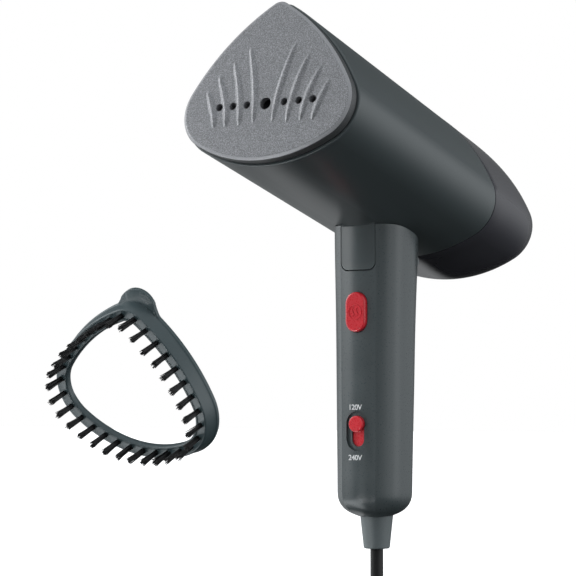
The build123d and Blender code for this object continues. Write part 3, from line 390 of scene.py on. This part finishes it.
# ------------------------------------------------------------------ steam plate: smooth ribs on a bevelled rounded triangle
RIBS = [[(12.3, 28.4), (8.6, 15.5), (6.1, 3.0), (5.0, -9.5)], [(20.1, 22.1), (16.2, 11.0), (13.8, 0.5), (12.6, -10.2)],
        [(27.4, 15.8), (23.6, 6.8), (21.0, -1.5), (19.9, -10.1)], [(32.6, 8.6), (29.9, 2.6), (27.7, -3.4), (26.1, -10.1)]]
HOLES = [(0.0, 2.8)] + [(sgn * x, 1.65) for x in (9.95, 17.56, 24.93) for sgn in (1, -1)]


def catmull(pts, n=40):
    out = []
    P = [tuple(2 * a - b for a, b in zip(pts[0], pts[1]))] + list(pts) + [tuple(2 * a - b for a, b in zip(pts[-1], pts[-2]))]
    for k in range(1, len(P) - 2):
        for i in range(n):
            t = i / n
            out.append(tuple(0.5 * (2 * P[k][d] + (P[k + 1][d] - P[k - 1][d]) * t + (2 * P[k - 1][d] - 5 * P[k][d] + 4 * P[k + 1][d] - P[k + 2][d]) * t * t +
                             (3 * P[k][d] - P[k - 1][d] - 3 * P[k + 1][d] + P[k + 2][d]) * t ** 3) for d in (0, 1)))
    out.append(tuple(pts[-1]))
    return out


RIB_LINES = []
for rib in RIBS:
    c = catmull(rib)
    RIB_LINES.append(c)
    RIB_LINES.append([(-x, y) for x, y in c])


def rib_height(x, p):
    """Height of the ribs over the face, in millimetres: a rounded ridge that fades at both ends."""
    h = 0.0
    for line in RIB_LINES:
        if not (min(line[0][0], line[-1][0]) - 3 < x < max(line[0][0], line[-1][0]) + 3 and -13 < p < line[0][1] + 3):
            continue
        best, bi = 1e9, 0
        for i in range(0, len(line), 2):
            d = (line[i][0] - x) ** 2 + (line[i][1] - p) ** 2
            if d < best:
                best, bi = d, i
        u = bi / (len(line) - 1)
        w = 1.75 * max(0.0, math.sin(math.pi * min(max(0.03 + 0.94 * u, 0.0), 1.0))) ** 0.55
        if w < 0.05:
            continue
        r = math.sqrt(best) / w
        if r < 1.0:
            fade = min(1.0, u / 0.12, (1 - u) / 0.12)
            h = max(h, 0.9 * fade * (1.0 - r * r) ** 0.85)
    return h


NA, NR = 420, 104
base = outline(0.0, NA)
loops = []
CX, CP = 0.0, 4.0
for k in range(1, NR + 1):
    q = k / NR
    lp_pts = []
    for x, p, nx, ny in base:
        xx, pp = CX + (x - nx * 1.75 - CX) * q, CP + (p - ny * 1.75 - CP) * q
        lp_pts.append(head_pt(xx, pp, -rib_height(xx, pp)))
    loops.append(lp_pts)
RIM = ((-1.55, 0.02), (-1.40, 0.08), (-0.30, 0.78), (-0.12, 0.92), (-0.02, 1.12), (0.0, 1.4), (0.0, 4.6), (-0.1, 4.9), (-0.5, 5.0))
for off, sdep in RIM:
    loops.append([head_pt(x + nx * off, p + ny * off, sdep) for x, p, nx, ny in base])
loops.append([head_pt(x - nx * 10.9, p - ny * 10.9, 5.0) for x, p, nx, ny in base])
loops.append([head_pt(x - nx * 11.0, p - ny * 11.0, 2.9) for x, p, nx, ny in base])
pv, pf = rings(loops)
plate = mesh_piece("steam_plate_face", pv, pf, "head", M["plate"])
plate.data.materials.append(M["painted_highlight_plate_bevel"])
plate.data.materials.append(M["painted_shade_plate_wall"])
# side wall faces, deeper than 1 mm, take the painted-shade copy; bevel faces take the painted-highlight copy
for poly in plate.data.polygons:
    c_ = poly.center
    d_ = (Vector(c_) - head_pt(0.0, 0.0, 0.0)).dot(HB) * 1000
    if d_ > 1.0:
        poly.material_index = 2
    elif d_ > 0.06 and len(poly.vertices) == 4:
        poly.material_index = 1
cutters = []
for hx, hr in HOLES:
    n = 40
    lps = []
    for sd, rr in ((-1.2, hr * 1.22), (-0.25, hr * 1.22), (0.25, hr), (6.0, hr)):
        lps.append([head_pt(hx + rr * math.cos(2 * math.pi * i / n), rr * math.sin(2 * math.pi * i / n), sd) for i in range(n)])
    cv, cf = rings(lps)
    me = bpy.data.meshes.new("cut")
    me.from_pydata([tuple(v) for v in cv], [], cf)
    bm = bmesh.new()
    bm.from_mesh(me)
    bmesh.ops.recalc_face_normals(bm, faces=bm.faces)
    bm.to_mesh(me)
    bm.free()
    ob = bpy.data.objects.new("cut", me)
    bpy.context.scene.collection.objects.link(ob)
    cutters.append(ob)


def boolean_cut(target, cutter_objs):
    for c in cutter_objs:
        md = target.modifiers.new("cut", "BOOLEAN")
        md.operation = "DIFFERENCE"
        md.solver = "EXACT"
        md.object = c
    dg = bpy.context.evaluated_depsgraph_get()
    me = bpy.data.meshes.new_from_object(target.evaluated_get(dg))
    target.modifiers.clear()
    old = target.data
    target.data = me
    bpy.data.meshes.remove(old)
    for c in cutter_objs:
        bpy.data.objects.remove(c, do_unlink=True)


boolean_cut(plate, cutters)
for p in plate.data.polygons:
    p.use_smooth = True
plate.data.set_sharp_from_angle(angle=math.radians(40))
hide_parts("steam_plate")

# ------------------------------------------------------------------ brush ring, swept profile with its thumb tab
NB = 520
bbase = outline(0.0, NB)
tab_outline = catmull([(17.0, 52.0), (13.6, 59.0), (11.4, 64.6), (8.4, 68.6), (3.6, 70.2), (-1.2, 70.2), (-5.6, 68.6), (-9.4, 64.4), (-12.6, 58.6), (-17.0, 51.0)], 24)


def ray_exit(x, p, nx, ny, poly):
    best = 0.0
    for i in range(len(poly) - 1):
        ax, ay = poly[i]
        bx, by = poly[i + 1]
        dx, dy = bx - ax, by - ay
        den = nx * dy - ny * dx
        if abs(den) < 1e-9:
            continue
        t = ((ax - x) * dy - (ay - p) * dx) / den
        u = ((ax - x) * ny - (ay - p) * nx) / den
        if 0 <= u <= 1 and t > best:
            best = t
    return best


ext = []
for x, p, nx, ny in bbase:
    e = ray_exit(x, p, nx, ny, tab_outline) if p > 20 else 0.0
    ext.append(max(12.15, min(e, 21.0)))
for _ in range(5):
    ext = [0.25 * ext[i - 1] + 0.5 * ext[i] + 0.25 * ext[(i + 1) % NB] for i in range(NB)]
profile = [  # (offset, depth, follows the tab)
    (2.55, 4.5, 0), (2.3, 4.5, 0), (2.15, 4.3, 0), (2.15, 3.4, 0), (2.2, 1.9, 0), (2.3, 1.3, 0), (2.5, 0.75, 0), (2.9, 0.35, 0), (3.35, 0.2, 0),
    (3.8, 0.32, 0), (4.2, 0.55, 0), (4.7, 0.62, 0), (8.7, 0.2, 0), (9.1, 0.08, 0), (9.45, 0.1, 0), (9.75, 0.28, 0), (9.95, 0.6, 0), (10.06, 1.0, 0),
    (10.5, 3.5, 0), (11.0, 6.0, 0), (11.4, 8.2, 0), (11.6, 8.75, 0), (0, 9.0, 1), (0, 9.18, 2), (0, 9.6, 3), (0, 11.0, 3), (0, 11.45, 2), (0, 11.6, 1)]
bl = []
for off, dep, mode in profile:
    lp_pts = []
    for (x, p, nx, ny), e in zip(bbase, ext):
        if mode == 0:
            o = off
        else:
            room = e - 11.75
            o = 11.75 + room * 1.0 - {1: min(0.35, room), 2: min(0.12, room * 0.4), 3: 0.0}[mode]
        lp_pts.append(brush_pt(x + nx * o, p + ny * o, dep))
    bl.append(lp_pts)
# hollow back between the walls
for off, dep in ((9.6, 11.6), (9.4, 11.3), (9.0, 4.2), (8.4, 3.6), (5.0, 3.4), (4.3, 3.5), (4.0, 4.3), (3.8, 4.5)):
    bl.append([brush_pt(x + nx * off, p + ny * off, dep) for x, p, nx, ny in bbase])
bv, bf = [], []
for lp_pts in bl:
    bv += lp_pts
K = len(bl)
for k in range(K):
    k2 = (k + 1) % K
    for i in range(NB):
        j = (i + 1) % NB
        bf.append((k * NB + i, k * NB + j, k2 * NB + j, k2 * NB + i))
brush = mesh_piece("brush_ring", bv, bf, "brush", M["brush"])
n_cut = []
me = bpy.data.meshes.new("cut")
bm = bmesh.new()
bmesh.ops.create_cube(bm, size=1.0)
for v in bm.verts:
    v.co = brush_pt(2.0 + v.co.x * 8.0, -28.6 + v.co.y * 4.4, 6.0 + v.co.z * 2.8)
bm.to_mesh(me)
bm.free()
ob = bpy.data.objects.new("cut", me)
bpy.context.scene.collection.objects.link(ob)
boolean_cut(brush, [ob])
for p in brush.data.polygons:
    p.use_smooth = True
brush.data.set_sharp_from_angle(angle=math.radians(38))
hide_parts("brush_frame")

# ------------------------------------------------------------------ bristle tufts: splayed bundles
rng = random.Random(5)
tv, tf_ = [], []
roots = outline(6.1, 31)
for r_i in range(31):
    x0, p0, nx, ny = roots[r_i]
    # each tuft is rooted half a pitch round from the first point
    x1, p1, nx1, ny1 = outline(6.1, 62)[2 * r_i + 1]
    lean = (rng.uniform(-0.5, 0.5), rng.uniform(-0.5, 0.5))
    for b_i in range(40):
        a = rng.uniform(0, 2 * math.pi)
        rr = 1.52 * math.sqrt(rng.uniform(0, 1))
        bx0, bp0 = x1 + rr * math.cos(a), p1 + rr * math.sin(a)
        sp_ = rng.uniform(0.15, 0.75)
        L = 14.2 - rng.uniform(0.0, 1.3)
        ex, ep = bx0 + rr * math.cos(a) * sp_ * 0.75 + lean[0] + rng.uniform(-0.25, 0.25), bp0 + rr * math.sin(a) * sp_ * 0.75 + lean[1] + rng.uniform(-0.25, 0.25)
        rad = 0.25
        seg = [(bx0, bp0, 1.2), (bx0 + 0.15 * (ex - bx0), bp0 + 0.15 * (ep - bp0), -L * 0.4), (bx0 + 0.5 * (ex - bx0), bp0 + 0.5 * (ep - bp0), -L * 0.75), (ex, ep, -L)]
        st = len(tv)
        for si, (cx, cp, cs) in enumerate(seg):
            q = rad * (0.75 if si == 3 else 1.0)
            for k in range(5):
                an = 2 * math.pi * k / 5 + a
                tv.append(brush_pt(cx + q * math.cos(an), cp + q * math.sin(an), cs))
        for si in range(3):
            for k in range(5):
                k2 = (k + 1) % 5
                tf_.append((st + si * 5 + k, st + si * 5 + k2, st + (si + 1) * 5 + k2, st + (si + 1) * 5 + k))
        tf_.append(tuple(st + 15 + k for k in range(5)))
        tf_.append(tuple(st + k for k in range(4, -1, -1)))
tufts = mesh_piece("bristle_bundles", tv, tf_, "brush", M["bristle"])
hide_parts("bristle_tufts")


# ------------------------------------------------------------------ voltage legends
def facet_y(node, x, z):
    """Outermost surface of a node met from the plate side at (x, z)."""
    bm_ = bmesh.new()
    bm_.from_mesh(node.data)
    bm_.transform(node.matrix_world)
    tree = BVHTree.FromBMesh(bm_)
    hit = tree.ray_cast(Vector((x, -0.2, z)), Vector((0, 1, 0)))
    bm_.free()
    return hit[0].y


def legend(name, text, x, z, height, y):
    cu_t = bpy.data.curves.new(name, "FONT")
    cu_t.body = text
    cu_t.align_x = "CENTER"
    cu_t.align_y = "CENTER"
    cu_t.size = height / 0.70
    cu_t.space_character = 0.92
    cu_t.extrude = 0.00003
    cu_t.offset = 0.00004
    cu_t.resolution_u = 4
    ob_t = bpy.data.objects.new(name, cu_t)
    bpy.context.scene.collection.objects.link(ob_t)
    dg = bpy.context.evaluated_depsgraph_get()
    me_t = bpy.data.meshes.new_from_object(ob_t.evaluated_get(dg))
    bpy.data.objects.remove(ob_t, do_unlink=True)
    for v in me_t.vertices:
        vx, vy, vz = v.co
        v.co = (x + vx * 1.06, y - vz, z + vy)
    me_t.materials.clear()
    me_t.materials.append(M["legend"])
    o2 = bpy.data.objects.new(name, me_t)
    bpy.context.scene.collection.objects.link(o2)
    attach(o2, "handle")
    return o2


legend("legend_low", "120V", -0.0018, -0.0181, 0.0025, facet_y(nodes["handle_front_shell"], -0.0018, -0.0181) - 0.00003)
legend("legend_high", "240V", -0.0018, -0.0422, 0.0025, facet_y(nodes["handle_front_shell"], -0.0018, -0.0422) - 0.00003)

# ------------------------------------------------------------------ floor, lights, camera
def plain(name, color, rough=0.9):
    m = bpy.data.materials.new(name)
    m.use_nodes = True
    b = m.node_tree.nodes["Principled BSDF"]
    b.inputs["Base Color"].default_value = (*color, 1.0)
    b.inputs["Roughness"].default_value = rough
    return m


bpy.context.scene.view_settings.view_transform = "Standard"

bpy.ops.mesh.primitive_plane_add(size=40.0, location=(0, 0, -0.42))
floor = bpy.context.active_object
floor.name = "floor"
fm = plain("floor_pale", (0.93, 0.93, 0.93))
fm.node_tree.nodes["Principled BSDF"].inputs["Emission Color"].default_value = (1, 1, 1, 1)
fm.node_tree.nodes["Principled BSDF"].inputs["Emission Strength"].default_value = 0.75
floor.data.materials.append(fm)
floor.visible_diffuse = False
floor.visible_glossy = False
floor.visible_transmission = False

# white studio: seen as white, lighting the object as a set of large soft panels
world = bpy.data.worlds.new("studio")
bpy.context.scene.world = world
world.use_nodes = True
wn, wl = world.node_tree.nodes, world.node_tree.links


def wmath(op, a, b=None, c=None):
    nd_ = wn.new("ShaderNodeMath")
    nd_.operation = op
    for k, v in enumerate((a, b, c)):
        if v is None:
            continue
        if isinstance(v, (int, float)):
            nd_.inputs[k].default_value = v
        else:
            wl.new(v, nd_.inputs[k])
    return nd_.outputs[0]


def wstep(v, lo, hi, t0=0.0, t1=1.0):
    nd_ = wn.new("ShaderNodeMapRange")
    nd_.interpolation_type = "SMOOTHSTEP"
    wl.new(v, nd_.inputs["Value"])
    for k, q in (("From Min", lo), ("From Max", hi), ("To Min", t0), ("To Max", t1)):
        nd_.inputs[k].default_value = q
    return nd_.outputs["Result"]


wtc = wn.new("ShaderNodeTexCoord")
wsep = wn.new("ShaderNodeSeparateXYZ")
wl.new(wtc.outputs["Generated"], wsep.inputs[0])
DX, DY, DZ = wsep.outputs
backw = wstep(DY, 0.0, 0.40)
panel = wmath("MULTIPLY", wstep(DZ, 0.325, 0.35, 1.0, 0.0), wstep(DZ, -0.66, 0.28, 0.02, 1.30))
upper = wstep(DZ, 0.325, 0.35, 0.0, 0.55)
back_sum = wmath("MULTIPLY", wmath("MULTIPLY", wmath("ADD", panel, upper), backw), wstep(DX, -0.30, 0.95, 0.12, 1.10))
left = wmath("MULTIPLY", wmath("MULTIPLY", wstep(DX, -0.70, -0.90, 0.0, 1.15), wstep(DZ, -0.75, -0.25)), wstep(DY, 0.15, 0.45, 1.0, 0.25))
back_left = wmath("MULTIPLY", wmath("MULTIPLY", wstep(DX, -0.50, -0.42, 0.25, 0.0), wstep(DZ, -0.04, 0.10, 1.0, 0.0)), wmath("MULTIPLY", wmath("MULTIPLY", wstep(DZ, -0.85, -0.70), wstep(DZ, -0.60, -0.15, 3.4, 1.0)), wstep(DY, 0.2, 0.4)))
front = wmath("MULTIPLY", wmath("SUBTRACT", 1.0, backw), wstep(DZ, -0.4, 0.9, 0.10, 1.0))
right = wmath("MULTIPLY", wmath("MULTIPLY", wstep(DX, 0.72, 0.98, 0.0, 0.9), wstep(DZ, -0.6, -0.1)), wstep(DZ, 0.35, 0.6, 1.0, 0.4))
low_left = wmath("MULTIPLY", wmath("MULTIPLY", wstep(DX, -0.45, -0.25, 2.7, 0.0), wstep(DZ, -0.45, -0.32, 1.0, 0.0)), wstep(DY, -0.25, -0.05, 1.0, 0.0))
total = wmath("ADD", wmath("ADD", back_sum, wmath("ADD", wmath("ADD", left, low_left), back_left)), wmath("ADD", front, right))
bg = wn["Background"]
bg.inputs["Color"].default_value = (0.97, 1.0, 1.02, 1.0)
wl.new(total, bg.inputs["Strength"])
bg2 = wn.new("ShaderNodeBackground")
bg2.inputs["Color"].default_value = (1.0, 1.0, 1.0, 1.0)
bg2.inputs["Strength"].default_value = 1.0
lp = wn.new("ShaderNodeLightPath")
mixs = wn.new("ShaderNodeMixShader")
wl.new(lp.outputs["Is Camera Ray"], mixs.inputs["Fac"])
wl.new(bg.outputs["Background"], mixs.inputs[1])
wl.new(bg2.outputs["Background"], mixs.inputs[2])
wl.new(mixs.outputs["Shader"], wn["World Output"].inputs["Surface"])


def area(name, direction, dist, target, size, radiance, size_y=None, color=(1, 1, 1), glossy=False):
    """A soft box seen from target in the given direction; power follows from its radiance."""
    li = bpy.data.lights.new(name, "AREA")
    li.shape = "RECTANGLE"
    li.size = size
    li.size_y = size_y or size
    li.energy = radiance * math.pi * li.size * li.size_y
    li.color = color
    ob = bpy.data.objects.new(name, li)
    bpy.context.scene.collection.objects.link(ob)
    ob.location = Vector(target) + Vector(direction).normalized() * dist
    d = Vector(target) - ob.location
    ob.rotation_euler = d.to_track_quat("-Z", "Y").to_euler()
    ob.visible_glossy = glossy
    return ob


HEADC = (0.0, 0.0, 0.09)
area("left_front", (-0.90, -0.38, 0.32), 1.8, HEADC, 1.0, 3.0, glossy=True)
area("camera_fill", (0.25, -0.95, 0.15), 2.4, HEADC, 1.4, 0.18)
area("low_front", (-0.25, -0.88, -0.42), 2.2, (-0.2, 0.0, -0.02), 1.2, 30.0)
area("right_fill", (0.98, 0.25, 0.00), 2.2, HEADC, 1.2, 0.55)

cam = bpy.data.cameras.new("camera")
cam.lens = 123.9
cam.sensor_width = 36.0
cam.sensor_fit = "HORIZONTAL"
cam.clip_start = 0.01
cam_ob = bpy.data.objects.new("camera", cam)
bpy.context.scene.collection.objects.link(cam_ob)
cam_ob.location = (0.4827, -0.8370, -0.0133)
look = Vector((-0.5368, 0.8419, 0.0551)).normalized()
cam_ob.rotation_euler = look.to_track_quat("-Z", "Y").to_euler()
bpy.context.scene.camera = cam_ob
